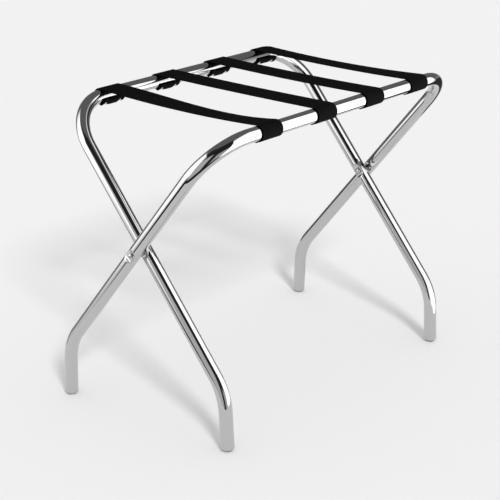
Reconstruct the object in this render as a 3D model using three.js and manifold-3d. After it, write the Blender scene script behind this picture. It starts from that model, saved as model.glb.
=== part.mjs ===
// Folding luggage rack: two bent steel tubes crossed as an X, riveted together where they cross,
// with four webbing straps from rail to rail. Millimetres, +Z up.
// X runs along the straps, Y along the rails, and the origin is on the floor under the middle.
// The outer frame's rail is at +X and its feet are at -X; the inner frame is the other way round.
import * as THREE from 'three';
import { mergeVertices } from 'three/addons/utils/BufferGeometryUtils.js';
import Module from 'manifold-3d';

const wasm = await Module();
wasm.setup();

// Bent tubes
const TUBE_RADIUS = 11.1;
const TUBE_WALL = 1.2;
const SKIN_SIDES = 16;
const BORE_SIDES = 8;
const RAIL_HEIGHT = 495;
const RAIL_SPACING = 340;
const PIVOT_HEIGHT = 291;
const FOOT_BEND_HEIGHT = 96;
const FOOT_SPLAY = THREE.MathUtils.degToRad(2.9);
const RAIL_BEND_RADIUS = 77;
const FOOT_BEND_RADIUS = 93;
const OUTER_HALF_WIDTH = 298.3;
const INNER_HALF_WIDTH = 272.3;

// The tubes are pressed flat where the pivot rivets go through, and rolled in at the feet
const CRIMP_HALF_THICKNESS = 7.5;
const CRIMP_FLAT = 6;
const CRIMP_REACH = 14;
const CRIMP_STATIONS = [CRIMP_FLAT, 9, 11.5, CRIMP_REACH];
const END_ROUNDING = 3;
const END_STATIONS = [0, 0.15, 0.5, 1];

// Pivots
const PIVOT_SHANK_RADIUS = 3;
const PIVOT_HEAD_RADIUS = 4.6;
const PIVOT_HEAD_RISE = 2.6;
const SPACER_RADIUS = 4.9;

// Straps
const STRAP_WIDTH = 45;
const STRAP_THICKNESS = 1.6;
const HEM_THICKNESS = 3.4;
const STRAP_SLACK = 0.6;
const ARC_STEP = THREE.MathUtils.degToRad(15);
const TAIL_END_ANGLE = THREE.MathUtils.degToRad(-12);
const HEM_START_ANGLE = THREE.MathUtils.degToRad(-88);
const RIVET_ANGLE = THREE.MathUtils.degToRad(-60);
const RIVET_OFFSET = 16;
const RIVET_SHANK_RADIUS = 1.6;
const RIVET_SPREAD_RADIUS = 2.4;
const RIVET_SPREAD_LENGTH = 1.2;
const RIVET_HEAD_RADIUS = 3.2;
const RIVET_HEAD_RISE = 1.6;

// Glides pressed into the feet
const GLIDE_RADIUS = 7.6;
const GLIDE_STEM_RADIUS = 6.4;
const GLIDE_STEM_LENGTH = 14;
const FOOT_LIFT = 2.5;

// Clearance between pieces that touch
const GAP = 0.3;

const legRun = RAIL_SPACING / 2;
const legRise = RAIL_HEIGHT - PIVOT_HEIGHT;
const footBendX = -(PIVOT_HEIGHT - FOOT_BEND_HEIGHT) * legRun / legRise;
const strapInnerRadius = TUBE_RADIUS + STRAP_SLACK;
const rivetSeat = strapInnerRadius + STRAP_THICKNESS;

// side is the sign of X at the frame's rail; its feet are on the other side.
// strapCentres are where the middles of the straps' wraps sit along that rail: the straps are
// fixed by hand, so each lies a few millimetres askew.
const frames = [
  { name: 'outer', side: 1, halfWidth: OUTER_HALF_WIDTH, strapCentres: [-180, -52, 69, 189] },
  { name: 'inner', side: -1, halfWidth: INNER_HALF_WIDTH, strapCentres: [-181, -53, 72, 194] },
];
const ends = [{ name: 'front', end: -1 }, { name: 'back', end: 1 }];

const chrome = new THREE.MeshStandardMaterial({ color: 0xd2d4d6, roughness: 0.06, metalness: 1 });
const steel = new THREE.MeshStandardMaterial({ color: 0xa9abad, roughness: 0.25, metalness: 1 });
const webbing = new THREE.MeshStandardMaterial({ color: 0x121212, roughness: 0.85, metalness: 0 });
const plastic = new THREE.MeshStandardMaterial({ color: 0x8b8c8d, roughness: 0.5, metalness: 0 });

// --- Solids -----------------------------------------------------------------------------------

function toSolid(geometry) {
  const bare = new THREE.BufferGeometry();
  bare.setAttribute('position', geometry.getAttribute('position'));
  if (geometry.index) bare.setIndex(geometry.index);
  const merged = mergeVertices(bare, 1e-3);
  return new wasm.Manifold(new wasm.Mesh({
    numProp: 3,
    vertProperties: new Float32Array(merged.getAttribute('position').array),
    triVerts: new Uint32Array(merged.index.array),
  }));
}

function toGeometry(solid) {
  const mesh = solid.getMesh();
  const geometry = new THREE.BufferGeometry();
  geometry.setAttribute('position', new THREE.BufferAttribute(mesh.vertProperties, 3));
  geometry.setIndex(new THREE.BufferAttribute(mesh.triVerts, 1));
  geometry.computeVertexNormals();
  return geometry;
}

function cutAway(geometry, cutters) {
  let solid = toSolid(geometry);
  for (const cutter of cutters) solid = solid.subtract(toSolid(cutter));
  return toGeometry(solid);
}

// A cylinder along the line from one point to another
function rod(from, to, radius, sides) {
  const along = to.clone().sub(from);
  const geometry = new THREE.CylinderGeometry(radius, radius, along.length(), sides);
  geometry.applyQuaternion(new THREE.Quaternion().setFromUnitVectors(
    new THREE.Vector3(0, 1, 0), along.clone().normalize()));
  const middle = from.clone().lerp(to, 0.5);
  geometry.translate(middle.x, middle.y, middle.z);
  return geometry;
}

// A turned piece: profile points are [radius, distance along the axis], first and last on the axis
function turned(profile, origin, axis, sides) {
  const geometry = new THREE.LatheGeometry(profile.map(([r, h]) => new THREE.Vector2(r, h)), sides);
  geometry.applyQuaternion(new THREE.Quaternion().setFromUnitVectors(
    new THREE.Vector3(0, 1, 0), axis.clone().normalize()));
  geometry.translate(origin.x, origin.y, origin.z);
  return geometry;
}

// Points of a low dome, from its rim to its top on the axis
function domeProfile(radius, base, rise, steps) {
  const points = [];
  for (let i = 0; i <= steps; i++) {
    const angle = Math.PI / 2 * i / steps;
    points.push([i === steps ? 0 : radius * Math.cos(angle), base + rise * Math.sin(angle)]);
  }
  return points;
}

// --- Bent tubes -------------------------------------------------------------------------------

// Points and tangents around one bend of the tube
function bendStations(before, corner, after, radius, steps) {
  const incoming = corner.clone().sub(before).normalize();
  const outgoing = after.clone().sub(corner).normalize();
  const turn = incoming.angleTo(outgoing);
  const inward = outgoing.clone().addScaledVector(incoming, -Math.cos(turn)).normalize();
  const start = corner.clone().addScaledVector(incoming, -radius * Math.tan(turn / 2));
  const centre = start.clone().addScaledVector(inward, radius);
  const stations = [];
  for (let i = 0; i <= steps; i++) {
    const angle = turn * i / steps;
    const point = centre.clone()
      .addScaledVector(incoming, radius * Math.sin(angle))
      .addScaledVector(inward, -radius * Math.cos(angle));
    const tangent = incoming.clone().multiplyScalar(Math.cos(angle))
      .addScaledVector(inward, Math.sin(angle));
    stations.push({ point, tangent });
  }
  return stations;
}

// Key points of a frame's front leg
function legCorners({ side, halfWidth }) {
  const footEndX = footBendX - (FOOT_BEND_HEIGHT - FOOT_LIFT) * Math.tan(FOOT_SPLAY);
  return {
    footEnd: new THREE.Vector3(side * footEndX, -halfWidth, FOOT_LIFT),
    footBend: new THREE.Vector3(side * footBendX, -halfWidth, FOOT_BEND_HEIGHT),
    pivot: new THREE.Vector3(0, -halfWidth, PIVOT_HEIGHT),
    railBend: new THREE.Vector3(side * legRun, -halfWidth, RAIL_HEIGHT),
    railMiddle: new THREE.Vector3(side * legRun, 0, RAIL_HEIGHT),
  };
}

// Stations from the front foot to the front end of the rail
function frontHalf(corners) {
  const { footEnd, footBend, pivot, railBend, railMiddle } = corners;
  const footDirection = footBend.clone().sub(footEnd).normalize();
  const legDirection = railBend.clone().sub(footBend).normalize();
  const endStations = END_STATIONS.map((share) => ({
    point: footEnd.clone().addScaledVector(footDirection, share * END_ROUNDING),
    tangent: footDirection,
  }));
  const crimpSteps = [...CRIMP_STATIONS.map((distance) => -distance).reverse(), ...CRIMP_STATIONS];
  const crimpStations = crimpSteps.map((distance) => ({
    point: pivot.clone().addScaledVector(legDirection, distance),
    tangent: legDirection,
  }));
  return [
    ...endStations,
    ...bendStations(footEnd, footBend, railBend, FOOT_BEND_RADIUS, 5),
    ...crimpStations,
    ...bendStations(footBend, railBend, railMiddle, RAIL_BEND_RADIUS, 10),
  ];
}

// The back half of a frame mirrors the front half
function mirrored(stations) {
  return stations.map(({ point, tangent }) => ({
    point: new THREE.Vector3(point.x, -point.y, point.z),
    tangent: new THREE.Vector3(-tangent.x, tangent.y, -tangent.z),
  })).reverse();
}

// A curve whose sections stand exactly at the given stations
class StationCurve extends THREE.Curve {
  constructor(stations) {
    super();
    this.stations = stations;
  }

  at(u) {
    return this.stations[Math.round(u * (this.stations.length - 1))];
  }

  getPointAt(u, target = new THREE.Vector3()) {
    return target.copy(this.at(u).point);
  }

  getTangentAt(u, target = new THREE.Vector3()) {
    return target.copy(this.at(u).tangent);
  }
}

function circleShape(radius, sides) {
  const points = [];
  for (let i = 0; i < sides; i++) {
    const angle = 2 * Math.PI * i / sides;
    points.push(new THREE.Vector2(radius * Math.cos(angle), radius * Math.sin(angle)));
  }
  return new THREE.Shape(points);
}

// Flattens the front and back of the tube around one pivot
function pressCrimp(vertex, pivot, legDirection, inset) {
  const reach = Math.abs(vertex.clone().sub(pivot).dot(legDirection));
  const offset = vertex.y - pivot.y;
  if (reach >= CRIMP_REACH || Math.abs(offset) > 2 * TUBE_RADIUS) return;
  const rise = THREE.MathUtils.smoothstep(reach, CRIMP_FLAT, CRIMP_REACH);
  const limit = THREE.MathUtils.lerp(CRIMP_HALF_THICKNESS, TUBE_RADIUS, rise) - inset;
  vertex.y = pivot.y + THREE.MathUtils.clamp(offset, -limit, limit);
}

// Rolls the tube's end inwards at one foot
function rollEnd(vertex, footEnd, footDirection) {
  const radial = vertex.clone().sub(footEnd);
  const height = radial.dot(footDirection);
  radial.addScaledVector(footDirection, -height);
  if (height >= END_ROUNDING || radial.length() > 2 * TUBE_RADIUS) return;
  const missing = END_ROUNDING - Math.max(height, 0);
  const rollIn = END_ROUNDING - Math.sqrt(END_ROUNDING ** 2 - missing ** 2);
  radial.setLength(radial.length() - rollIn);
  vertex.copy(footEnd).addScaledVector(footDirection, height).add(radial);
}

// A solid sweep along a whole frame: its outer skin at inset 0, its bore at an inset of the wall
function frameSweep(corners, stations, inset, sides) {
  const geometry = new THREE.ExtrudeGeometry(circleShape(TUBE_RADIUS - inset, sides), {
    steps: stations.length - 1,
    extrudePath: new StationCurve(stations),
    bevelEnabled: false,
  });
  const legDirection = corners.railBend.clone().sub(corners.footBend).normalize();
  const footDirection = corners.footBend.clone().sub(corners.footEnd).normalize();
  const position = geometry.getAttribute('position');
  const vertex = new THREE.Vector3();
  for (let i = 0; i < position.count; i++) {
    vertex.fromBufferAttribute(position, i);
    const mirror = Math.sign(vertex.y) || 1;
    vertex.y *= -mirror;
    pressCrimp(vertex, corners.pivot, legDirection, inset);
    rollEnd(vertex, corners.footEnd, footDirection);
    position.setXYZ(i, vertex.x, -mirror * vertex.y, vertex.z);
  }
  return geometry;
}

// One frame: a bent tube, open at both feet, drilled for its pivots and its strap rivets
function bentTube(frame) {
  const { halfWidth } = frame;
  const corners = legCorners(frame);
  const footDirection = corners.footBend.clone().sub(corners.footEnd).normalize();
  const half = frontHalf(corners);
  const pastTheEnd = {
    point: corners.footEnd.clone().addScaledVector(footDirection, -1),
    tangent: footDirection,
  };
  const boreHalf = [pastTheEnd, ...half];
  const skin = frameSweep(corners, [...half, ...mirrored(half)], 0, SKIN_SIDES);
  const bore = frameSweep(corners, [...boreHalf, ...mirrored(boreHalf)], TUBE_WALL, BORE_SIDES);
  const holes = [];
  for (const end of [-1, 1]) {
    const outside = corners.pivot.clone().setY(end * (halfWidth + TUBE_RADIUS));
    const inside = corners.pivot.clone().setY(end * (halfWidth - TUBE_RADIUS));
    holes.push(rod(outside, inside, PIVOT_SHANK_RADIUS + GAP, 12));
  }
  for (const rivet of strapRivetPlaces(frame)) {
    holes.push(rivetHole(rivet));
  }
  return cutAway(skin, [bore, ...holes]);
}

// --- Pivots -----------------------------------------------------------------------------------

// Distance of a crimp's outward and inward faces from the middle of the rack
const outerCrimpOutside = OUTER_HALF_WIDTH + CRIMP_HALF_THICKNESS;
const outerCrimpInside = OUTER_HALF_WIDTH - CRIMP_HALF_THICKNESS;
const innerCrimpOutside = INNER_HALF_WIDTH + CRIMP_HALF_THICKNESS;
const innerCrimpInside = INNER_HALF_WIDTH - CRIMP_HALF_THICKNESS;

// A domed head outside, a shank through both tubes, and an upset head inside
function pivotRivet(end) {
  const shankLength = outerCrimpOutside - innerCrimpInside + 2 * GAP;
  const head = domeProfile(PIVOT_HEAD_RADIUS, 0, PIVOT_HEAD_RISE, 3);
  const profile = [
    ...head.map(([radius, height]) => [radius, -shankLength - height]).reverse(),
    [PIVOT_SHANK_RADIUS, -shankLength],
    [PIVOT_SHANK_RADIUS, 0],
    ...head,
  ];
  const origin = new THREE.Vector3(0, end * (outerCrimpOutside + GAP), PIVOT_HEIGHT);
  return turned(profile, origin, new THREE.Vector3(0, end, 0), 12);
}

// A short sleeve on the rivet that holds the two tubes apart
function pivotSpacer(end) {
  const bore = PIVOT_SHANK_RADIUS + GAP;
  const near = innerCrimpOutside + GAP;
  const far = outerCrimpInside - GAP;
  const profile = [[bore, near], [SPACER_RADIUS, near], [SPACER_RADIUS, far], [bore, far], [bore, near]];
  return turned(profile, new THREE.Vector3(0, 0, PIVOT_HEIGHT), new THREE.Vector3(0, end, 0), 12);
}

// --- Straps -----------------------------------------------------------------------------------

// How far a rail has bent down towards its legs at a distance y from its middle
function bendOffset({ side, halfWidth }, y) {
  const pastStraight = Math.max(Math.abs(y) - (halfWidth - RAIL_BEND_RADIUS), 0);
  const drop = RAIL_BEND_RADIUS - Math.sqrt(RAIL_BEND_RADIUS ** 2 - pastStraight ** 2);
  return new THREE.Vector3(-side * legRun, 0, -legRise).setLength(drop);
}

// Where the straps' tails are riveted to a rail; the angle is up from the rail's inner side
function strapRivetPlaces(frame) {
  const outward = new THREE.Vector3(-frame.side * Math.cos(RIVET_ANGLE), 0, Math.sin(RIVET_ANGLE));
  const places = [];
  for (const centre of frame.strapCentres) {
    for (const offset of [-RIVET_OFFSET, RIVET_OFFSET]) {
      const y = centre + offset;
      const onAxis = new THREE.Vector3(frame.side * legRun, y, RAIL_HEIGHT).add(bendOffset(frame, y));
      places.push({ onAxis, outward });
    }
  }
  return places;
}

function rivetHole({ onAxis, outward }) {
  const outside = onAxis.clone().addScaledVector(outward, 2 * TUBE_RADIUS);
  return rod(onAxis, outside, RIVET_SHANK_RADIUS + GAP, 8);
}

// The hollow that a rivet's head presses into the hem
function headPocket({ onAxis, outward }) {
  const seat = onAxis.clone().addScaledVector(outward, rivetSeat - GAP);
  const outside = onAxis.clone().addScaledVector(outward, 2 * TUBE_RADIUS);
  return rod(seat, outside, RIVET_HEAD_RADIUS + GAP, 12);
}

// Outline of a strap seen along the rails: over the top of each rail, down its outside and
// under it, up to a doubled hem that ends on the rail's inner side
function strapOutline() {
  const arc = (side, radius, from, to) => {
    const points = [];
    const steps = Math.ceil(Math.abs(to - from) / ARC_STEP);
    for (let i = 0; i <= steps; i++) {
      const angle = THREE.MathUtils.lerp(from, to, i / steps);
      points.push(new THREE.Vector2(
        side * (legRun - radius * Math.cos(angle)), RAIL_HEIGHT + radius * Math.sin(angle)));
    }
    return points;
  };
  const top = Math.PI / 2;
  const fullTurn = 2 * Math.PI;
  const inner = strapInnerRadius;
  const outer = strapInnerRadius + STRAP_THICKNESS;
  const hem = strapInnerRadius + HEM_THICKNESS;
  const wrap = (side) => [
    ...arc(side, outer, top, HEM_START_ANGLE + fullTurn),
    ...arc(side, hem, HEM_START_ANGLE + fullTurn, TAIL_END_ANGLE + fullTurn),
    ...arc(side, inner, TAIL_END_ANGLE + fullTurn, top),
  ];
  return new THREE.Shape([...wrap(1), ...wrap(-1).reverse()]);
}

// One strap, following the rails where they start to bend, drilled for the rivets in its hems
function strap(index) {
  const [outerCentre, innerCentre] = frames.map((frame) => frame.strapCentres[index]);
  const reachesBend = frames.some((frame) => {
    const farEdge = Math.abs(frame.strapCentres[index]) + STRAP_WIDTH / 2;
    return bendOffset(frame, farEdge).length() > 0;
  });
  const geometry = new THREE.ExtrudeGeometry(strapOutline(), {
    depth: STRAP_WIDTH,
    steps: reachesBend ? 5 : 1,
    bevelEnabled: false,
  });
  geometry.rotateX(Math.PI / 2);
  geometry.translate(0, STRAP_WIDTH / 2, 0);
  const position = geometry.getAttribute('position');
  const vertex = new THREE.Vector3();
  for (let i = 0; i < position.count; i++) {
    vertex.fromBufferAttribute(position, i);
    vertex.y += vertex.x > 0 ? outerCentre : innerCentre;
    vertex.add(bendOffset(vertex.x > 0 ? frames[0] : frames[1], vertex.y));
    position.setXYZ(i, vertex.x, vertex.y, vertex.z);
  }
  const rivets = frames.flatMap((frame) => strapRivetPlaces(frame)
    .filter(({ onAxis }) => Math.abs(onAxis.y - frame.strapCentres[index]) < STRAP_WIDTH / 2));
  return cutAway(geometry, [...rivets.map(rivetHole), ...rivets.map(headPocket)]);
}

// A small domed rivet through a hem and the tube's wall, spread inside the tube
function strapRivet({ onAxis, outward }) {
  const boreRadius = (TUBE_RADIUS - TUBE_WALL) * Math.cos(Math.PI / BORE_SIDES) - GAP;
  const profile = [
    [0, boreRadius - RIVET_SPREAD_LENGTH],
    [RIVET_SPREAD_RADIUS, boreRadius - RIVET_SPREAD_LENGTH],
    [RIVET_SPREAD_RADIUS, boreRadius],
    [RIVET_SHANK_RADIUS, boreRadius],
    [RIVET_SHANK_RADIUS, rivetSeat],
    ...domeProfile(RIVET_HEAD_RADIUS, rivetSeat, RIVET_HEAD_RISE, 2),
  ];
  return turned(profile, onAxis, outward, 8);
}

// --- Feet -------------------------------------------------------------------------------------

// A plug in the open end of one foot, cut flat where it stands on the floor
function footGlide(frame, end) {
  const { footEnd, footBend } = legCorners(frame);
  const axis = footBend.clone().sub(footEnd).normalize();
  const below = -2 * FOOT_LIFT;
  const profile = [
    [0, below],
    [GLIDE_RADIUS, below],
    [GLIDE_RADIUS, -GAP],
    [GLIDE_STEM_RADIUS, -GAP],
    [GLIDE_STEM_RADIUS, GLIDE_STEM_LENGTH],
    [0, GLIDE_STEM_LENGTH],
  ];
  const place = footEnd.clone().setY(end * frame.halfWidth);
  const floor = new THREE.BoxGeometry(8 * GLIDE_RADIUS, 8 * GLIDE_RADIUS, 4 * FOOT_LIFT);
  floor.translate(place.x, place.y, -2 * FOOT_LIFT);
  return cutAway(turned(profile, place, axis, 12), [floor]);
}

// --- Assembly ---------------------------------------------------------------------------------

const rack = new THREE.Group();

function addPiece(name, geometry, material) {
  const mesh = new THREE.Mesh(geometry, material);
  mesh.name = name;
  rack.add(mesh);
}

for (const frame of frames) {
  addPiece(`${frame.name}_frame`, bentTube(frame), chrome);
  for (const { name, end } of ends) {
    addPiece(`${frame.name}_${name}_glide`, footGlide(frame, end), plastic);
  }
  strapRivetPlaces(frame).forEach((place, i) => {
    const strapNumber = Math.floor(i / 2) + 1;
    const letter = i % 2 === 0 ? 'a' : 'b';
    addPiece(`strap_${strapNumber}_${frame.name}_rivet_${letter}`, strapRivet(place), steel);
  });
}

for (const { name, end } of ends) {
  addPiece(`${name}_pivot_rivet`, pivotRivet(end), steel);
  addPiece(`${name}_pivot_spacer`, pivotSpacer(end), steel);
}

frames[0].strapCentres.forEach((_, i) => addPiece(`strap_${i + 1}`, strap(i), webbing));

export default rack;
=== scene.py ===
import math

import bpy
import numpy as np
from mathutils import Matrix, Vector


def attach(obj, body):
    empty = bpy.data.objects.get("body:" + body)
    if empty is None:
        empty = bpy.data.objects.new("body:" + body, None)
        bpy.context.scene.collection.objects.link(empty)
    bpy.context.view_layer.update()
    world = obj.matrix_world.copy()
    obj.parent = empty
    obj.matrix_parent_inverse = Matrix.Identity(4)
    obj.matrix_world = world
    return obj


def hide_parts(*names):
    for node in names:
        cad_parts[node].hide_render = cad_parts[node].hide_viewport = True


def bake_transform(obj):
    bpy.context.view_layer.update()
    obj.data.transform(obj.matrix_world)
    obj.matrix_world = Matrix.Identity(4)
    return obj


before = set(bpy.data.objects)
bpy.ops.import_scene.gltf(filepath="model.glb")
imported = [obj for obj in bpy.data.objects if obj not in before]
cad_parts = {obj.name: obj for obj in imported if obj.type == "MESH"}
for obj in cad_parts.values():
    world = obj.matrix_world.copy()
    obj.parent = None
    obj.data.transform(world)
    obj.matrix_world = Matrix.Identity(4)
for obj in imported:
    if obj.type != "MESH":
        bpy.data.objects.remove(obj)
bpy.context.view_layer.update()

MM = 0.001

# Bent tubes, as in the CAD model
TUBE_RADIUS = 11.1
TUBE_WALL = 1.2
RAIL_HEIGHT = 495
RAIL_HALF_SPACING = 170
PIVOT_HEIGHT = 291
FOOT_BEND_HEIGHT = 96
FOOT_SPLAY = math.radians(2.9)
RAIL_BEND_RADIUS = 77
FOOT_BEND_RADIUS = 93
FOOT_LIFT = 2.5
END_ROUNDING = 3
FRAMES = {
    "outer": {"side": 1, "half_width": 298.3},
    "inner": {"side": -1, "half_width": 272.3},
}
ENDS = {"front": -1, "back": 1}

# Finer steps than the CAD model's
TUBE_SIDES = 56
STRAIGHT_STEP = 12
BEND_STEP = 3
CRIMP_STEP = 1
LIP_RINGS = 9

# Flats pressed into the tubes at the pivots
CRIMP_HALF_THICKNESS = 7.5
CRIMP_FLAT = 6
CRIMP_REACH = 14
CRIMP_FADE_END = CRIMP_REACH + 1
CRIMP_MARGIN = CRIMP_REACH + 2
CRIMP_EDGE = 0.35

# Pivots
GAP = 0.3
PIVOT_SHANK_RADIUS = 3
PIVOT_HEAD_RADIUS = 4.6
PIVOT_HEAD_RISE = 2.6
PIVOT_HEAD_RIM = 0.3
SPACER_RADIUS = 4.9
SPACER_CHAMFER = 0.4
OUTSIDE = FRAMES["outer"]["half_width"] + CRIMP_HALF_THICKNESS
INSIDE = FRAMES["inner"]["half_width"] - CRIMP_HALF_THICKNESS

# Straps: middles of the wraps along the rails, and slopes where the strap's front and back
# edges leave the outer and the inner rail, which set how each edge sags
STRAP_WIDTH = 45
STRAP_THICKNESS = 1.6
STRAP_SLACK = 0.5
STRAPS = [
    {"outer": -180, "inner": -181, "front": (0.06, 0.05), "back": (0.15, 0.01)},
    {"outer": -52, "inner": -53, "front": (0.011, 0.011), "back": (0.014, 0.014)},
    {"outer": 69, "inner": 72, "front": (0.022, 0.020), "back": (0.026, 0.024)},
    {"outer": 189, "inner": 194, "front": (0.032, 0.032), "back": (0.055, 0.055)},
]

# The strap's cross-section: distances from its edge with half its thickness at each, and the
# middle columns with their slight ripple
SELVEDGE = [(0, 0), (0.12, 0.45), (0.4, 0.72), (0.9, 0.84), (1.6, 0.8)]
SELVEDGE_WIDTH = 3
MIDDLE_COLUMNS = 27
MIDDLE_RIPPLE = 0.03

# Hems: the strap's raw end lies on the rail, and the strap folds back over it. Angles go round
# the rail in degrees, from its inner side over its top
HEM_PLY_GAP = 0.15
PLY_RADIUS = TUBE_RADIUS + STRAP_SLACK + STRAP_THICKNESS / 2
OVER_PLY_RADIUS = PLY_RADIUS + STRAP_THICKNESS + HEM_PLY_GAP
TAIL_END_ANGLE = 343
FOLD_HALF_TURN = 80
HEM_START_ANGLE = 276
OVER_PLY_END_ANGLE = HEM_START_ANGLE + 3
HEM_STEP_ANGLE = 12

# The hem puffs up between its rivets and less so outside them. The puff grows with the distance
# from a rivet, rises and falls round the rail, and lifts the plies, lifts the fold and swells it
HEM_PUFF = 1.3
PUFF_OUTSIDE_RIVETS = 0.4
PUFF_DISTANCES = (2.5, 9)
PUFF_RISE_ANGLES = (268, 292)
PUFF_FALL_ANGLES = (318, 346)
PUFF_FALL = 0.6
UNDER_PLY_LIFT = 0.85
FOLD_LIFT = 0.93
FOLD_SWELLING = 0.07

# Strap rivets, and how deep they press the hem's two plies in
RIVET_ANGLE = 300
RIVET_OFFSET = 16
RIVET_SHANK_RADIUS = 1.6
RIVET_HEAD_RADIUS = 3.2
RIVET_HEAD_RISE = 1.6
RIVET_HEAD_RIM = 0.25
RIVET_SEAT = 13.3
RIVET_DIMPLE = (RIVET_HEAD_RADIUS + 0.2, RIVET_HEAD_RADIUS + 3)
UNDER_PLY_PRESS = 0.35
OVER_PLY_PRESS = 1.75
CLENCH_RADIUS = 2.4
CLENCH_THICKNESS = 1.2
CLENCH_CHAMFER = 0.4

# Rows of points along a strap, from its raw end to the other rail
UNDER_PLY_ROWS = 30
FOLD_ROWS = 9
OVER_PLY_ROWS = 44
STEP_ROWS = 9
WRAP_ROWS = 56
SPAN_ROWS = 84

# Glides, which stay just above the floor
GLIDE_RADIUS = 7.6
GLIDE_EDGE = 0.6
GLIDE_CHAMFER = 0.2
GLIDE_STEM_RADIUS = 6.4
GLIDE_STEM_LENGTH = 14
GLIDE_BASE = 0.05
FLOOR_CLEARANCE = 0.02

# The lower edge of a domed head: how far it is cut back, and how high the cut is
RIM_INSET = 0.2
RIM_RISE = 0.15

LEG_RISE = RAIL_HEIGHT - PIVOT_HEIGHT
FOOT_BEND_X = -(PIVOT_HEIGHT - FOOT_BEND_HEIGHT) * RAIL_HALF_SPACING / LEG_RISE


# --- Camera, light and floor --------------------------------------------------------------------

# Where the camera stands and how far to the left of and below the rack's middle it aims, in metres
CAMERA_AZIMUTH = math.radians(42.05)
CAMERA_ELEVATION = math.radians(20.73)
CAMERA_ROLL = math.radians(-0.5)
CAMERA_DISTANCE = 2.371
AIM_HEIGHT = 0.240
AIM_LEFT = 0.02087
AIM_BELOW = 0.02496
LENS = 100.16
SENSOR_WIDTH = 36


def direction(azimuth, elevation):
    """A unit vector; azimuth 0 is -Y and 90 degrees is +X."""
    level = math.cos(elevation)
    return Vector((math.sin(azimuth) * level, -math.cos(azimuth) * level, math.sin(elevation)))


def make_camera():
    back = direction(CAMERA_AZIMUTH, CAMERA_ELEVATION)
    right = Vector((math.cos(CAMERA_AZIMUTH), math.sin(CAMERA_AZIMUTH), 0))
    up = back.cross(right)
    target = Vector((0, 0, AIM_HEIGHT)) - AIM_LEFT * right - AIM_BELOW * up
    rolled_right = math.cos(CAMERA_ROLL) * right + math.sin(CAMERA_ROLL) * up
    rolled_up = math.cos(CAMERA_ROLL) * up - math.sin(CAMERA_ROLL) * right
    data = bpy.data.cameras.new("camera")
    data.sensor_width = SENSOR_WIDTH
    data.lens = LENS
    camera = bpy.data.objects.new("camera", data)
    axes = Matrix((rolled_right, rolled_up, back)).transposed()
    camera.matrix_world = Matrix.Translation(target + CAMERA_DISTANCE * back) @ axes.to_4x4()
    bpy.context.collection.objects.link(camera)
    bpy.context.scene.camera = camera


def add_node(tree, kind, inputs=None, **settings):
    """A shader node; inputs are sockets to link from or values to set."""
    made = tree.nodes.new(kind)
    for name, value in settings.items():
        setattr(made, name, value)
    for name, value in (inputs or {}).items():
        if isinstance(value, bpy.types.NodeSocket):
            tree.links.new(value, made.inputs[name])
        else:
            made.inputs[name].default_value = value
    return made


def calculate(tree, operation, *values):
    made = add_node(tree, "ShaderNodeMath", dict(enumerate(values)), operation=operation)
    return made.outputs[0]


def ramp(tree, value, low, high, to_low=0.0, to_high=1.0):
    """A smooth step of value from low to high."""
    made = add_node(
        tree, "ShaderNodeMapRange",
        {"Value": value, "From Min": low, "From Max": high, "To Min": to_low, "To Max": to_high},
        interpolation_type="SMOOTHSTEP",
    )
    return made.outputs["Result"]


def soft_band(tree, value, low, high, softness):
    """1 where value is between low and high, falling to 0 outside."""
    rising = ramp(tree, value, low - softness, low + softness)
    falling = ramp(tree, value, high - softness, high + softness, 1.0, 0.0)
    return calculate(tree, "MULTIPLY", rising, falling)


# What the chrome reflects of the room, painted in this order: azimuth from and to, relative to
# the camera and positive to its right, elevation from and to and edge softness, all in degrees,
# then radiance
ROOM_PATCHES = [
    (-200, 200, -91, 5, 5, 0.50),
    (-165, -112, -9, 4, 4, 0.12),
    (-112, -50, -45, -2, 5, 1.00),
    (-80, 50, -60, 62, 5, 0.03),
    (100, 118, -40, -4, 4, 1.10),
    (118, 152, -60, 0, 5, 0.05),
]
ROOM_RADIANCE = 0.20
# What lights the floor and the straps, and what the camera sees beyond the floor
AMBIENT_RADIANCE = 0.74
PALE = 0.88


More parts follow.
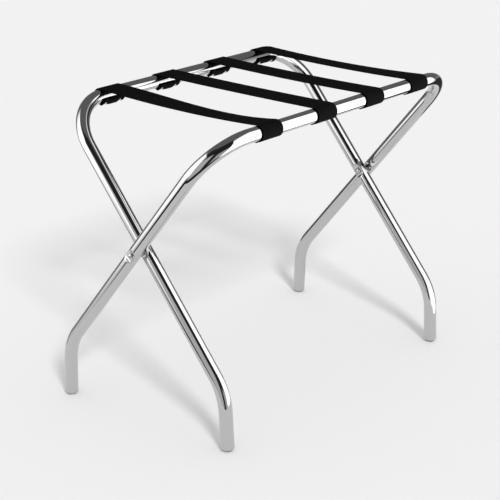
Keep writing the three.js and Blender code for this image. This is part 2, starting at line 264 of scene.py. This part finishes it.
def make_world():
    """A pale studio: the camera sees a plain backdrop, and the chrome reflects a lit room."""
    world = bpy.data.worlds.new("studio")
    bpy.context.scene.world = world
    world.use_nodes = True
    tree = world.node_tree
    tree.nodes.clear()
    coordinates = add_node(tree, "ShaderNodeTexCoord")
    turned_view = add_node(
        tree, "ShaderNodeMapping",
        {"Vector": coordinates.outputs["Generated"], "Rotation": (0, 0, -CAMERA_AZIMUTH)},
    )
    axes = add_node(tree, "ShaderNodeSeparateXYZ", {"Vector": turned_view.outputs["Vector"]})
    towards = calculate(tree, "MULTIPLY", axes.outputs["Y"], -1.0)
    azimuth = calculate(tree, "ARCTAN2", axes.outputs["X"], towards)
    azimuth = calculate(tree, "DEGREES", azimuth)
    elevation = calculate(tree, "DEGREES", calculate(tree, "ARCSINE", axes.outputs["Z"]))
    radiance = ROOM_RADIANCE
    for left, right, low, high, softness, level in ROOM_PATCHES:
        patch = calculate(
            tree, "MULTIPLY",
            soft_band(tree, azimuth, left, right, softness),
            soft_band(tree, elevation, low, high, softness))
        change = calculate(tree, "SUBTRACT", level, radiance)
        radiance = calculate(tree, "MULTIPLY_ADD", patch, change, radiance)
    room = add_node(tree, "ShaderNodeBackground", {"Strength": radiance})
    ambient = add_node(
        tree, "ShaderNodeBackground", {"Color": (1, 1, 1, 1), "Strength": AMBIENT_RADIANCE})
    plain = add_node(tree, "ShaderNodeBackground", {"Color": (PALE, PALE, PALE, 1)})
    path = add_node(tree, "ShaderNodeLightPath")
    lighting = add_node(
        tree, "ShaderNodeMixShader",
        {0: path.outputs["Is Glossy Ray"], 1: ambient.outputs[0], 2: room.outputs[0]},
    )
    shown = add_node(
        tree, "ShaderNodeMixShader",
        {0: path.outputs["Is Camera Ray"], 1: lighting.outputs[0], 2: plain.outputs[0]},
    )
    add_node(tree, "ShaderNodeOutputWorld", {"Surface": shown.outputs[0]})


def studio_point(right, away, height=0.0):
    """A point given by its distance to the right of the rack and behind it, as the camera sees it."""
    sine, cosine = math.sin(CAMERA_AZIMUTH), math.cos(CAMERA_AZIMUTH)
    return Vector((right * cosine - away * sine, right * sine + away * cosine, height))


# Panels round the rack. Edges: right and away of their upright edges, left one first as seen from
# the rack; heights of their bottoms and tops, in metres; fades: the share of the width that fades
# in at the left and right edges, and of the height at the bottom and top
PANELS = {
    "left_softbox": {
        "edges": ((-1.00, 0.60), (-0.90, -1.00)), "heights": (-0.05, 1.45),
        "radiance": 1.8, "fades": (0.40, 0.10, 0.30, 0.10)},
    "right_softbox": {
        "edges": ((0.55, -0.90), (0.70, 0.25)), "heights": (-0.15, 1.60),
        "radiance": 1.8, "fades": (0.05, 0.05, 0.02, 0.20)},
    "front_left_card": {
        "edges": ((-1.25, -1.15), (-0.15, -1.70)), "heights": (-0.60, 1.20),
        "radiance": 0.6, "fades": (0.02, 0.02, 0.15, 0.05)},
    "front_right_card": {
        "edges": ((0.40, -1.70), (1.10, -1.45)), "heights": (-0.60, 0.70),
        "radiance": 0.5, "fades": (0.02, 0.02, 0.15, 0.30)},
}


def make_panels():
    """Softboxes and grey cards that only the chrome shows."""
    for name, panel in PANELS.items():
        bottom, top = panel["heights"]
        start, end = [studio_point(*edge, (bottom + top) / 2) for edge in panel["edges"]]
        data = bpy.data.lights.new(name, "AREA")
        data.shape = "RECTANGLE"
        data.size = (end - start).length
        data.size_y = top - bottom
        data.energy = panel["radiance"] * math.pi * data.size * data.size_y
        data.use_nodes = True
        tree = data.node_tree
        place = add_node(tree, "ShaderNodeSeparateXYZ", {
            "Vector": add_node(tree, "ShaderNodeNewGeometry").outputs["Parametric"]})
        left_fade, right_fade, bottom_fade, top_fade = panel["fades"]
        across, upwards = place.outputs["X"], place.outputs["Y"]
        strength = calculate(
            tree, "MULTIPLY",
            ramp(tree, across, 0, left_fade), ramp(tree, across, 1 - right_fade, 1, 1.0, 0.0))
        strength = calculate(tree, "MULTIPLY", strength, ramp(tree, upwards, 0, bottom_fade))
        strength = calculate(
            tree, "MULTIPLY", strength, ramp(tree, upwards, 1 - top_fade, 1, 1.0, 0.0))
        tree.links.new(strength, tree.nodes["Emission"].inputs["Strength"])
        along = (end - start).normalized()
        up = Vector((0, 0, 1))
        axes = Matrix((along, up, along.cross(up))).transposed()
        light = bpy.data.objects.new(name, data)
        light.matrix_world = Matrix.Translation((start + end) / 2) @ axes.to_4x4()
        light.visible_camera = False
        light.visible_diffuse = False
        bpy.context.collection.objects.link(light)


# The key light casts the rack's shadow on the floor, and the chrome doesn't show it
KEY_AZIMUTH = math.radians(60)
KEY_ELEVATION = math.radians(38)
KEY_WIDTH = math.radians(11)
KEY_STRENGTH = 1.9


def make_key_light():
    data = bpy.data.lights.new("key", "SUN")
    data.energy = KEY_STRENGTH
    data.angle = KEY_WIDTH
    key = bpy.data.objects.new("key", data)
    towards_light = direction(KEY_AZIMUTH, KEY_ELEVATION)
    key.rotation_mode = "QUATERNION"
    key.rotation_quaternion = towards_light.to_track_quat("Z", "Y")
    key.visible_glossy = False
    bpy.context.collection.objects.link(key)


def make_material(name):
    material = bpy.data.materials.new(name)
    material.use_nodes = True
    tree = material.node_tree
    return material, tree, tree.nodes["Principled BSDF"]


# Right and away of the floor's corners, in metres: it ends close in front of the rack and beside
# it, where the chrome shows the room past its edges
FLOOR_CORNERS = [
    (-0.56, -0.58), (0.42, -0.58), (0.46, 0), (1.6, 6), (-1.6, 6), (-0.80, 1.5), (-0.56, 0.2)]
FLOOR_SHADE = 0.80


def make_floor():
    material, _, shader = make_material("floor_paper")
    shader.inputs["Base Color"].default_value = (FLOOR_SHADE, FLOOR_SHADE, FLOOR_SHADE, 1)
    shader.inputs["Roughness"].default_value = 1
    shader.inputs["Specular IOR Level"].default_value = 0
    corners = [studio_point(right, away) for right, away in FLOOR_CORNERS]
    mesh = bpy.data.meshes.new("floor")
    mesh.from_pydata(corners, [], [tuple(range(len(corners)))])
    mesh.materials.append(material)
    floor = bpy.data.objects.new("floor", mesh)
    bpy.context.collection.objects.link(floor)


# --- Materials ----------------------------------------------------------------------------------


def chrome_material():
    material, tree, shader = make_material("chrome_plate")
    position = add_node(tree, "ShaderNodeTexCoord").outputs["Object"]
    smudges = add_node(tree, "ShaderNodeTexNoise", {"Vector": position, "Scale": 38, "Detail": 5})
    specks = add_node(tree, "ShaderNodeTexNoise", {"Vector": position, "Scale": 900, "Detail": 2})
    shader.inputs["Base Color"].default_value = (0.56, 0.56, 0.565, 1)
    shader.inputs["Metallic"].default_value = 1
    rough = ramp(tree, smudges.outputs["Fac"], 0.45, 0.75, 0.03, 0.075)
    tree.links.new(rough, shader.inputs["Roughness"])
    bump = add_node(
        tree, "ShaderNodeBump",
        {"Height": specks.outputs["Fac"], "Strength": 0.02, "Distance": 0.0002},
    )
    tree.links.new(bump.outputs["Normal"], shader.inputs["Normal"])
    return material


def steel_material():
    material, tree, shader = make_material("rivet_plate")
    position = add_node(tree, "ShaderNodeTexCoord").outputs["Object"]
    marks = add_node(tree, "ShaderNodeTexNoise", {"Vector": position, "Scale": 700, "Detail": 4})
    shader.inputs["Base Color"].default_value = (0.52, 0.52, 0.52, 1)
    shader.inputs["Metallic"].default_value = 1
    tree.links.new(
        ramp(tree, marks.outputs["Fac"], 0.35, 0.75, 0.10, 0.26), shader.inputs["Roughness"])
    bump = add_node(
        tree, "ShaderNodeBump",
        {"Height": marks.outputs["Fac"], "Strength": 0.08, "Distance": 0.0003},
    )
    tree.links.new(bump.outputs["Normal"], shader.inputs["Normal"])
    return material


def plastic_material():
    material, tree, shader = make_material("glide_plastic")
    position = add_node(tree, "ShaderNodeTexCoord").outputs["Object"]
    grain = add_node(tree, "ShaderNodeTexNoise", {"Vector": position, "Scale": 1500, "Detail": 3})
    shade = add_node(
        tree, "ShaderNodeMix", {"Factor": grain.outputs["Fac"]}, data_type="RGBA")
    shade.inputs["A"].default_value = (0.20, 0.20, 0.20, 1)
    shade.inputs["B"].default_value = (0.27, 0.27, 0.27, 1)
    tree.links.new(shade.outputs["Result"], shader.inputs["Base Color"])
    tree.links.new(
        ramp(tree, grain.outputs["Fac"], 0.3, 0.7, 0.42, 0.6), shader.inputs["Roughness"])
    return material


def webbing_material():
    """Woven tape: warp ribs along the strap, crossed by the weft, with painted shade in the grooves
    between them.
    """
    material, tree, shader = make_material("black_webbing")
    weave = add_node(tree, "ShaderNodeAttribute", attribute_name="weave")
    along, across = [
        add_node(tree, "ShaderNodeSeparateXYZ", {"Vector": weave.outputs["Vector"]}).outputs[axis]
        for axis in ("X", "Y")
    ]
    rib_pitch, weft_pitch = 1.5, 1.7
    rib = calculate(tree, "MULTIPLY", across, 1 / rib_pitch)
    odd = calculate(tree, "MULTIPLY", calculate(tree, "FLOOR", rib), math.pi)
    weft_phase = calculate(tree, "MULTIPLY_ADD", along, 2 * math.pi / weft_pitch, odd)
    weft_wave = calculate(tree, "MULTIPLY_ADD", calculate(tree, "SINE", weft_phase), 0.35, 0.65)
    rib_wave = calculate(tree, "ABSOLUTE", calculate(
        tree, "SINE", calculate(tree, "MULTIPLY", rib, math.pi)))
    height = calculate(tree, "MULTIPLY", rib_wave, weft_wave)
    fade = add_node(
        tree, "ShaderNodeTexNoise",
        {"Vector": weave.outputs["Vector"], "Scale": 0.06, "Detail": 6, "Roughness": 0.7},
    )
    # The colour is darker where the weave sinks: painted shade in the grooves between the ribs and the
    # weft, times a real tone that varies at random along the strap
    painted_groove_shade_and_tone = calculate(tree, "MULTIPLY", height, fade.outputs["Fac"])
    shade = add_node(tree, "ShaderNodeMix", {"Factor": painted_groove_shade_and_tone}, data_type="RGBA")
    shade.inputs["A"].default_value = (0.0014, 0.0014, 0.0015, 1)
    shade.inputs["B"].default_value = (0.0075, 0.0075, 0.0078, 1)
    tree.links.new(shade.outputs["Result"], shader.inputs["Base Color"])
    tree.links.new(ramp(tree, height, 0.0, 1.0, 0.85, 0.6), shader.inputs["Roughness"])
    shader.inputs["Specular IOR Level"].default_value = 0.05
    bump = add_node(tree, "ShaderNodeBump", {"Height": height, "Strength": 0.6, "Distance": 0.0003})
    tree.links.new(bump.outputs["Normal"], shader.inputs["Normal"])
    return material


# --- Meshes -------------------------------------------------------------------------------------


def add_piece(name, points, faces, material, body, replaced):
    """A smooth mesh of the rack, from points in millimetres; it rides on body unless that is None."""
    mesh = bpy.data.meshes.new(name)
    mesh.from_pydata((np.asarray(points) * MM).tolist(), [], faces)
    mesh.validate()
    mesh.shade_smooth()
    mesh.materials.append(material)
    piece = bpy.data.objects.new(name, mesh)
    bpy.context.collection.objects.link(piece)
    if body:
        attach(piece, body)
    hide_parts(*replaced)
    return piece


def ring_faces(rings, sides, closed=False):
    """Quads between successive rings of points; closed joins the last ring to the first."""
    faces = []
    last = rings if closed else rings - 1
    for ring in range(last):
        after = (ring + 1) % rings
        for side in range(sides):
            beside = (side + 1) % sides
            faces.append((
                ring * sides + side, ring * sides + beside,
                after * sides + beside, after * sides + side,
            ))
    return faces


def unit(vector):
    return vector / np.linalg.norm(vector)


def smooth(value, low, high):
    """A smooth step from 0 at low to 1 at high."""
    share = np.clip((value - low) / (high - low), 0, 1)
    return share * share * (3 - 2 * share)


def turned(profile, origin, axis, sides):
    """Points and faces of a turned piece; profile points are (radius, distance along the axis)."""
    axis = unit(np.array(axis, float))
    across = unit(np.cross(axis, (0.3, 0.5, 0.8)))
    other = np.cross(axis, across)
    points, faces, rings = [], [], []
    for radius, height in profile:
        centre = np.array(origin, float) + height * axis
        if radius == 0:
            rings.append([len(points)])
            points.append(centre)
            continue
        rings.append(list(range(len(points), len(points) + sides)))
        for angle in np.linspace(0, 2 * math.pi, sides, endpoint=False):
            points.append(centre + radius * (math.cos(angle) * across + math.sin(angle) * other))
    for low, high in zip(rings, rings[1:]):
        for i in range(sides):
            j = (i + 1) % sides
            if len(low) == 1:
                faces.append((low[0], high[j], high[i]))
            elif len(high) == 1:
                faces.append((low[i], low[j], high[0]))
            else:
                faces.append((low[i], low[j], high[j], high[i]))
    return points, faces


def dome(radius, base, rise, rim, steps):
    """Profile of a domed head from its rim, which stands upright, to its top on the axis."""
    angles = np.linspace(0, math.pi / 2, steps + 1)
    arch = [(radius * math.cos(a), base + rim + (rise - rim) * math.sin(a)) for a in angles[:-1]]
    return [(radius - RIM_INSET, base), (radius, base + RIM_RISE), *arch, (0, base + rise)]


# --- Tubes --------------------------------------------------------------------------------------


def leg_corners(side, half_width):
    foot_end_x = FOOT_BEND_X - (FOOT_BEND_HEIGHT - FOOT_LIFT) * math.tan(FOOT_SPLAY)
    return {
        "foot_end": np.array((side * foot_end_x, -half_width, FOOT_LIFT)),
        "foot_bend": np.array((side * FOOT_BEND_X, -half_width, FOOT_BEND_HEIGHT)),
        "pivot": np.array((0, -half_width, PIVOT_HEIGHT)),
        "rail_bend": np.array((side * RAIL_HALF_SPACING, -half_width, RAIL_HEIGHT)),
        "rail_middle": np.array((side * RAIL_HALF_SPACING, 0, RAIL_HEIGHT)),
    }


def bend_stations(before, corner, after, radius):
    """Points and tangents round one bend of a tube."""
    incoming, outgoing = unit(corner - before), unit(after - corner)
    turn = math.acos(incoming @ outgoing)
    inward = unit(outgoing - math.cos(turn) * incoming)
    centre = corner - radius * math.tan(turn / 2) * incoming + radius * inward
    stations = []
    for angle in np.linspace(0, turn, math.ceil(turn * radius / BEND_STEP) + 1):
        sine, cosine = math.sin(angle), math.cos(angle)
        point = centre + radius * (sine * incoming - cosine * inward)
        stations.append((point, cosine * incoming + sine * inward))
    return stations


def straight_stations(start, end, step):
    """Points and tangents strictly between two points of a straight length."""
    along = unit(end - start)
    count = math.ceil(np.linalg.norm(end - start) / step)
    return [(start + (end - start) * i / count, along) for i in range(1, count)]


def half_stations(corners):
    """Stations from the front foot to the middle of the rail."""
    foot_end, foot_bend = corners["foot_end"], corners["foot_bend"]
    pivot, rail_bend = corners["pivot"], corners["rail_bend"]
    foot_along, leg_along = unit(foot_bend - foot_end), unit(rail_bend - foot_bend)
    lip = [
        (foot_end + END_ROUNDING * (1 - math.cos(a)) * foot_along, foot_along)
        for a in np.linspace(0, math.pi / 2, LIP_RINGS)
    ]
    low_bend = bend_stations(foot_end, foot_bend, rail_bend, FOOT_BEND_RADIUS)
    high_bend = bend_stations(foot_bend, rail_bend, corners["rail_middle"], RAIL_BEND_RADIUS)
    crimp = [
        (pivot + distance * leg_along, leg_along)
        for distance in np.arange(-CRIMP_MARGIN, CRIMP_MARGIN + CRIMP_STEP / 2, CRIMP_STEP)
    ]
    return [
        *lip,
        *straight_stations(lip[-1][0], low_bend[0][0], STRAIGHT_STEP), *low_bend,
        *straight_stations(low_bend[-1][0], crimp[0][0], STRAIGHT_STEP), *crimp,
        *straight_stations(crimp[-1][0], high_bend[0][0], STRAIGHT_STEP), *high_bend,
        *straight_stations(high_bend[-1][0], corners["rail_middle"], STRAIGHT_STEP),
    ]


def sweep(stations, radius):
    """Rings of points along the stations, turned as little as possible from one to the next."""
    angles = np.linspace(0, 2 * math.pi, TUBE_SIDES, endpoint=False)
    across = np.array((0.0, 1.0, 0.0))
    rings = []
    for point, tangent in stations:
        across = unit(across - (across @ tangent) * tangent)
        other = np.cross(tangent, across)
        rings.append(
            point + radius * (np.outer(np.cos(angles), across) + np.outer(np.sin(angles), other)))
    return np.array(rings)


def press_crimps(points, corners, inset):
    """Presses a flat with soft edges into the front and back of the tube at its pivot."""
    pivot = corners["pivot"]
    leg_along = unit(corners["rail_bend"] - corners["foot_bend"])
    reach = np.abs((points - pivot) @ leg_along)
    offset = points[..., 1] - pivot[1]
    near = (reach < CRIMP_MARGIN) & (np.abs(offset) < 2 * TUBE_RADIUS)
    rise = smooth(reach, CRIMP_FLAT, CRIMP_FADE_END)
    free = TUBE_RADIUS + 4 * CRIMP_EDGE
    limit = CRIMP_HALF_THICKNESS + (free - CRIMP_HALF_THICKNESS) * rise - inset
    pressed = -CRIMP_EDGE * np.log(
        np.exp(-np.abs(offset) / CRIMP_EDGE) + np.exp(-limit / CRIMP_EDGE))
    pressed = np.sign(offset) * np.maximum(pressed, 0)
    points[..., 1] = np.where(near, pivot[1] + pressed, points[..., 1])


def roll_end(points, corners):
    """Rolls the tube's end inwards at its foot."""
    foot_end = corners["foot_end"]
    foot_along = unit(corners["foot_bend"] - foot_end)
    height = (points - foot_end) @ foot_along
    radial = points - foot_end - height[..., None] * foot_along
    length = np.linalg.norm(radial, axis=-1)
    near = (height < END_ROUNDING) & (length < 2 * TUBE_RADIUS)
    missing = END_ROUNDING - np.clip(height, 0, END_ROUNDING)
    roll_in = END_ROUNDING - np.sqrt(END_ROUNDING ** 2 - missing ** 2)
    share = np.where(near, 1 - roll_in / np.maximum(length, 1), 1)
    points[...] = foot_end + height[..., None] * foot_along + radial * share[..., None]


def tube_surface(corners, stations, inset):
    """Half of a tube's skin, or of its bore when inset by the wall."""
    half = sweep(stations, TUBE_RADIUS - inset)
    press_crimps(half, corners, inset)
    roll_end(half, corners)
    return half


def make_tube(name, side, half_width, material):
    """One frame: a bent tube with its wall and bore, open at both feet."""
    corners = leg_corners(side, half_width)
    stations = half_stations(corners)
    loops = []
    for inset in (0, TUBE_WALL):
        half = tube_surface(corners, stations, inset)
        mirrored = half[::-1] * (1, -1, 1)
        loops.append(np.concatenate((half, mirrored)))
    skin, bore = loops
    rings = np.concatenate((skin, bore[::-1]))
    faces = ring_faces(len(rings), TUBE_SIDES, closed=True)
    add_piece(
        f"{name}_tube", rings.reshape(-1, 3), faces, material,
        f"{name}_body", [f"{name}_frame"])


def make_glide(name, side, half_width, end_name, end, material):
    """A plug pressed into the tube's end, cut level with the floor."""
    corners = leg_corners(side, half_width)
    along = unit(corners["foot_bend"] - corners["foot_end"])
    base = -FOOT_LIFT / along[2] + GLIDE_BASE
    profile = [
        (0, base), (GLIDE_RADIUS - 2 * GLIDE_EDGE, base),
        (GLIDE_RADIUS - GLIDE_EDGE / 2, base + GLIDE_CHAMFER), (GLIDE_RADIUS, base + GLIDE_EDGE),
        (GLIDE_RADIUS, -GAP - GLIDE_CHAMFER), (GLIDE_RADIUS - GLIDE_CHAMFER, -GAP),
        (GLIDE_STEM_RADIUS, -GAP), (GLIDE_STEM_RADIUS, GLIDE_STEM_LENGTH - 1),
        (GLIDE_STEM_RADIUS - 1, GLIDE_STEM_LENGTH), (0, GLIDE_STEM_LENGTH),
    ]
    place = corners["foot_end"] * (1, -end, 1)
    points, faces = turned(profile, place, along, sides=40)
    points = np.maximum(points, (-math.inf, -math.inf, FLOOR_CLEARANCE))
    node = f"{name}_{end_name}_glide"
    add_piece(f"{node}_plug", points, faces, material, f"{name}_body", [node])


# --- Pivots -------------------------------------------------------------------------------------


def make_pivot_rivet(end_name, end, material):
    """A domed head outside, a shank through both tubes and an upset head inside."""
    length = OUTSIDE - INSIDE + 2 * GAP
    head = dome(PIVOT_HEAD_RADIUS, 0, PIVOT_HEAD_RISE, PIVOT_HEAD_RIM, steps=10)
    upset = [(radius, -length - height) for radius, height in reversed(head)]
    profile = [*upset, (PIVOT_SHANK_RADIUS, -length), (PIVOT_SHANK_RADIUS, 0), *head]
    origin = (0, end * (OUTSIDE + GAP), PIVOT_HEIGHT)
    points, faces = turned(profile, origin, (0, end, 0), sides=48)
    node = f"{end_name}_pivot_rivet"
    add_piece(f"{node}_domed", points, faces, material, "outer_body", [node])


def make_spacer(end_name, end, material):
    """A short sleeve on the rivet that holds the two tubes apart."""
    bore = PIVOT_SHANK_RADIUS + GAP
    near = FRAMES["inner"]["half_width"] + CRIMP_HALF_THICKNESS + GAP
    far = FRAMES["outer"]["half_width"] - CRIMP_HALF_THICKNESS - GAP
    profile = [
        (bore, near), (SPACER_RADIUS - SPACER_CHAMFER, near), (SPACER_RADIUS, near + SPACER_CHAMFER),
        (SPACER_RADIUS, far - SPACER_CHAMFER), (SPACER_RADIUS - SPACER_CHAMFER, far), (bore, far),
        (bore, near),
    ]
    points, faces = turned(profile, (0, 0, PIVOT_HEIGHT), (0, end, 0), sides=40)
    node = f"{end_name}_pivot_spacer"
    add_piece(f"{node}_sleeve", points, faces, material, "outer_body", [node])


# --- Straps -------------------------------------------------------------------------------------


def rail_axis(side, half_width, y):
    """The point of a rail's axis at a distance y from its middle, bent down near its ends."""
    past = max(abs(y) - (half_width - RAIL_BEND_RADIUS), 0)
    drop = RAIL_BEND_RADIUS - math.sqrt(RAIL_BEND_RADIUS ** 2 - past ** 2)
    down_leg = unit(np.array((-side * RAIL_HALF_SPACING, 0, -LEG_RISE)))
    return np.array((side * RAIL_HALF_SPACING, y, RAIL_HEIGHT)) + drop * down_leg


def hem_lift(angle, across):
    """How far the hem stands off its rail: pulled in at the rivets and puffed up between them."""
    to_rivet = abs(abs(across) - RIVET_OFFSET)
    place = 1 if abs(across) < RIVET_OFFSET else PUFF_OUTSIDE_RIVETS
    puff = HEM_PUFF * smooth(to_rivet, *PUFF_DISTANCES) * place
    around = smooth(angle, *PUFF_RISE_ANGLES) * (1 - PUFF_FALL * smooth(angle, *PUFF_FALL_ANGLES))
    return puff * around


def rivet_press(angle, across):
    """1 under a rivet's head, falling to 0 round it."""
    around = math.radians(angle - RIVET_ANGLE) * RIVET_SEAT
    distance = math.hypot(abs(across) - RIVET_OFFSET, around)
    return 1 - smooth(distance, *RIVET_DIMPLE)


def hem_turns(across):
    """Angles and radii of the hem round its rail, from the strap's raw end to its single ply."""
    turns = []
    for angle in np.linspace(HEM_START_ANGLE, TAIL_END_ANGLE, UNDER_PLY_ROWS):
        lift = UNDER_PLY_LIFT * hem_lift(angle, across)
        press = UNDER_PLY_PRESS * rivet_press(angle, across)
        turns.append((angle, PLY_RADIUS + lift - press))
    lift = hem_lift(TAIL_END_ANGLE, across)
    middle = (PLY_RADIUS + OVER_PLY_RADIUS) / 2 + FOLD_LIFT * lift
    fold = (OVER_PLY_RADIUS - PLY_RADIUS) / 2 + FOLD_SWELLING * lift
    for angle in np.radians(np.linspace(-FOLD_HALF_TURN, FOLD_HALF_TURN, FOLD_ROWS)):
        past_end = math.degrees(fold * math.cos(angle) / middle)
        turns.append((TAIL_END_ANGLE + past_end, middle + fold * math.sin(angle)))
    for angle in np.linspace(TAIL_END_ANGLE, OVER_PLY_END_ANGLE, OVER_PLY_ROWS):
        press = OVER_PLY_PRESS * rivet_press(angle, across)
        turns.append((angle, OVER_PLY_RADIUS + hem_lift(angle, across) - press))
    for share in np.linspace(0, 1, STEP_ROWS)[1:]:
        angle = OVER_PLY_END_ANGLE - share * HEM_STEP_ANGLE
        radius = OVER_PLY_RADIUS + (PLY_RADIUS - OVER_PLY_RADIUS) * smooth(share, 0, 1)
        turns.append((angle, radius + hem_lift(angle, across)))
    return turns


def wrap_path(frame_name, y, across, departure):
    """Middle line of the strap round one rail, from its raw end to where it leaves for the other."""
    side, half_width = FRAMES[frame_name]["side"], FRAMES[frame_name]["half_width"]
    turns = hem_turns(across)
    leave_angle = 90 - math.degrees(math.atan(departure))
    for angle in np.linspace(OVER_PLY_END_ANGLE - HEM_STEP_ANGLE, leave_angle, WRAP_ROWS)[1:]:
        turns.append((angle, PLY_RADIUS))
    turns = np.array(turns)
    angles = np.radians(turns[:, 0])
    outward = np.stack((-side * np.cos(angles), np.sin(angles)), axis=1)
    return rail_axis(side, half_width, y)[[0, 2]] + turns[:, 1:] * outward


def span_path(start, end, leave, arrive):
    """The strap between the rails, from one departure point to the other, sagging smoothly."""
    length = abs(start[0] - end[0])
    rows = []
    for share in np.linspace(0, 1, SPAN_ROWS + 1)[1:-1]:
        level = start + share * (end - start)
        drop = length * (leave * share * (1 - share) ** 2 + arrive * share ** 2 * (1 - share))
        rows.append(level - (0, drop))
    return np.array(rows)


def strap_line(strap, across):
    """Middle line of the strap in X and Z, at a distance across from the strap's own middle."""
    share = across / STRAP_WIDTH + 0.5
    leave, arrive = [
        front + share * (back - front) for front, back in zip(strap["front"], strap["back"])]
    outer_end = wrap_path("outer", strap["outer"] + across, across, leave)
    inner_end = wrap_path("inner", strap["inner"] + across, across, arrive)
    span = span_path(outer_end[-1], inner_end[-1], leave, arrive)
    return np.concatenate((outer_end, span, inner_end[::-1]))


def strap_columns():
    """Distances across the strap with half its thickness at each, edge to edge."""
    half = STRAP_WIDTH / 2
    middle = np.linspace(-half + SELVEDGE_WIDTH, half - SELVEDGE_WIDTH, MIDDLE_COLUMNS)
    return [
        *((-half + inset, thickness) for inset, thickness in SELVEDGE),
        *((across, STRAP_THICKNESS / 2 + MIDDLE_RIPPLE * math.cos(across)) for across in middle),
        *((half - inset, thickness) for inset, thickness in reversed(SELVEDGE)),
    ]


def strap_surface(strap):
    """Rings of points round the strap from end to end, and each point's run along and across it."""
    columns = strap_columns()
    tops, bottoms, weave = [], [], []
    for across, half_thickness in columns:
        path = strap_line(strap, across)
        tangent = np.gradient(path, axis=0)
        tangent /= np.linalg.norm(tangent, axis=1)[:, None]
        normal = np.stack((-tangent[:, 1], tangent[:, 0]), axis=1)
        run = np.concatenate(([0], np.cumsum(np.linalg.norm(np.diff(path, axis=0), axis=1))))
        towards_inner = smooth(path[:, 0], RAIL_HALF_SPACING, -RAIL_HALF_SPACING)
        y = strap["outer"] + towards_inner * (strap["inner"] - strap["outer"]) + across
        for surface, sign in ((tops, 1), (bottoms, -1)):
            edge = path + sign * half_thickness * normal
            surface.append(np.stack((edge[:, 0], y, edge[:, 1]), axis=1))
        weave.append(np.stack((run, np.full(len(run), across), np.zeros(len(run))), axis=1))
    back_again = range(len(columns) - 2, 0, -1)
    rings = np.stack(tops + [bottoms[column] for column in back_again], axis=1)
    coordinates = np.stack(weave + [weave[column] for column in back_again], axis=1)
    return rings, coordinates


def end_faces(row, sides):
    """Faces that close the strap at one of its raw ends, across from its top to its bottom."""
    first = row * sides
    faces = []
    for side in range(sides // 2):
        corners = (
            first + side, first + side + 1,
            first + (sides - side - 1) % sides, first + (sides - side) % sides)
        faces.append(tuple(dict.fromkeys(corners[::-1] if row else corners)))
    return faces


def make_strap(number, strap, material):
    """One strap: woven tape over both rails, riveted under them, with its ends folded in."""
    rings, coordinates = strap_surface(strap)
    rows, sides = rings.shape[:2]
    faces = ring_faces(rows, sides) + end_faces(0, sides) + end_faces(rows - 1, sides)
    piece = add_piece(
        f"strap_{number}_webbing", rings.reshape(-1, 3), faces, material, None,
        [f"strap_{number}"])
    attribute = piece.data.attributes.new("weave", "FLOAT_VECTOR", "POINT")
    attribute.data.foreach_set("vector", coordinates.reshape(-1))
    # A ring runs across the strap's top and back along its bottom
    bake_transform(piece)


def make_strap_rivets(number, centre, frame_name, material):
    """Two rivets through one hem and the rail's wall, clenched inside the tube."""
    side, half_width = FRAMES[frame_name]["side"], FRAMES[frame_name]["half_width"]
    angle = math.radians(RIVET_ANGLE)
    outward = np.array((-side * math.cos(angle), 0, math.sin(angle)))
    clench = TUBE_RADIUS - TUBE_WALL - 2 * GAP
    for letter, offset in (("a", -RIVET_OFFSET), ("b", RIVET_OFFSET)):
        origin = rail_axis(side, half_width, centre + offset)
        profile = [
            (0, clench - CLENCH_THICKNESS), (CLENCH_RADIUS - CLENCH_CHAMFER, clench - CLENCH_THICKNESS),
            (CLENCH_RADIUS, clench - CLENCH_THICKNESS + CLENCH_CHAMFER), (CLENCH_RADIUS, clench),
            (RIVET_SHANK_RADIUS, clench), (RIVET_SHANK_RADIUS, RIVET_SEAT),
            *dome(RIVET_HEAD_RADIUS, RIVET_SEAT, RIVET_HEAD_RISE, RIVET_HEAD_RIM, steps=6),
        ]
        points, faces = turned(profile, origin, outward, sides=32)
        node = f"strap_{number}_{frame_name}_rivet_{letter}"
        add_piece(
            f"{node}_domed", points, faces, material, f"{frame_name}_body", [node])


# --- The rack -----------------------------------------------------------------------------------

bpy.context.scene.view_settings.view_transform = "Standard"
make_camera()
make_world()
make_panels()
make_key_light()
make_floor()

chrome = chrome_material()
steel = steel_material()
plastic = plastic_material()
webbing = webbing_material()

for frame_name, shape in FRAMES.items():
    make_tube(frame_name, shape["side"], shape["half_width"], chrome)
    for end_name, end in ENDS.items():
        make_glide(frame_name, shape["side"], shape["half_width"], end_name, end, plastic)
for end_name, end in ENDS.items():
    make_pivot_rivet(end_name, end, steel)
    make_spacer(end_name, end, steel)
for number, strap in enumerate(STRAPS, 1):
    make_strap(number, strap, webbing)
    for frame_name in FRAMES:
        make_strap_rivets(number, strap[frame_name], frame_name, steel)
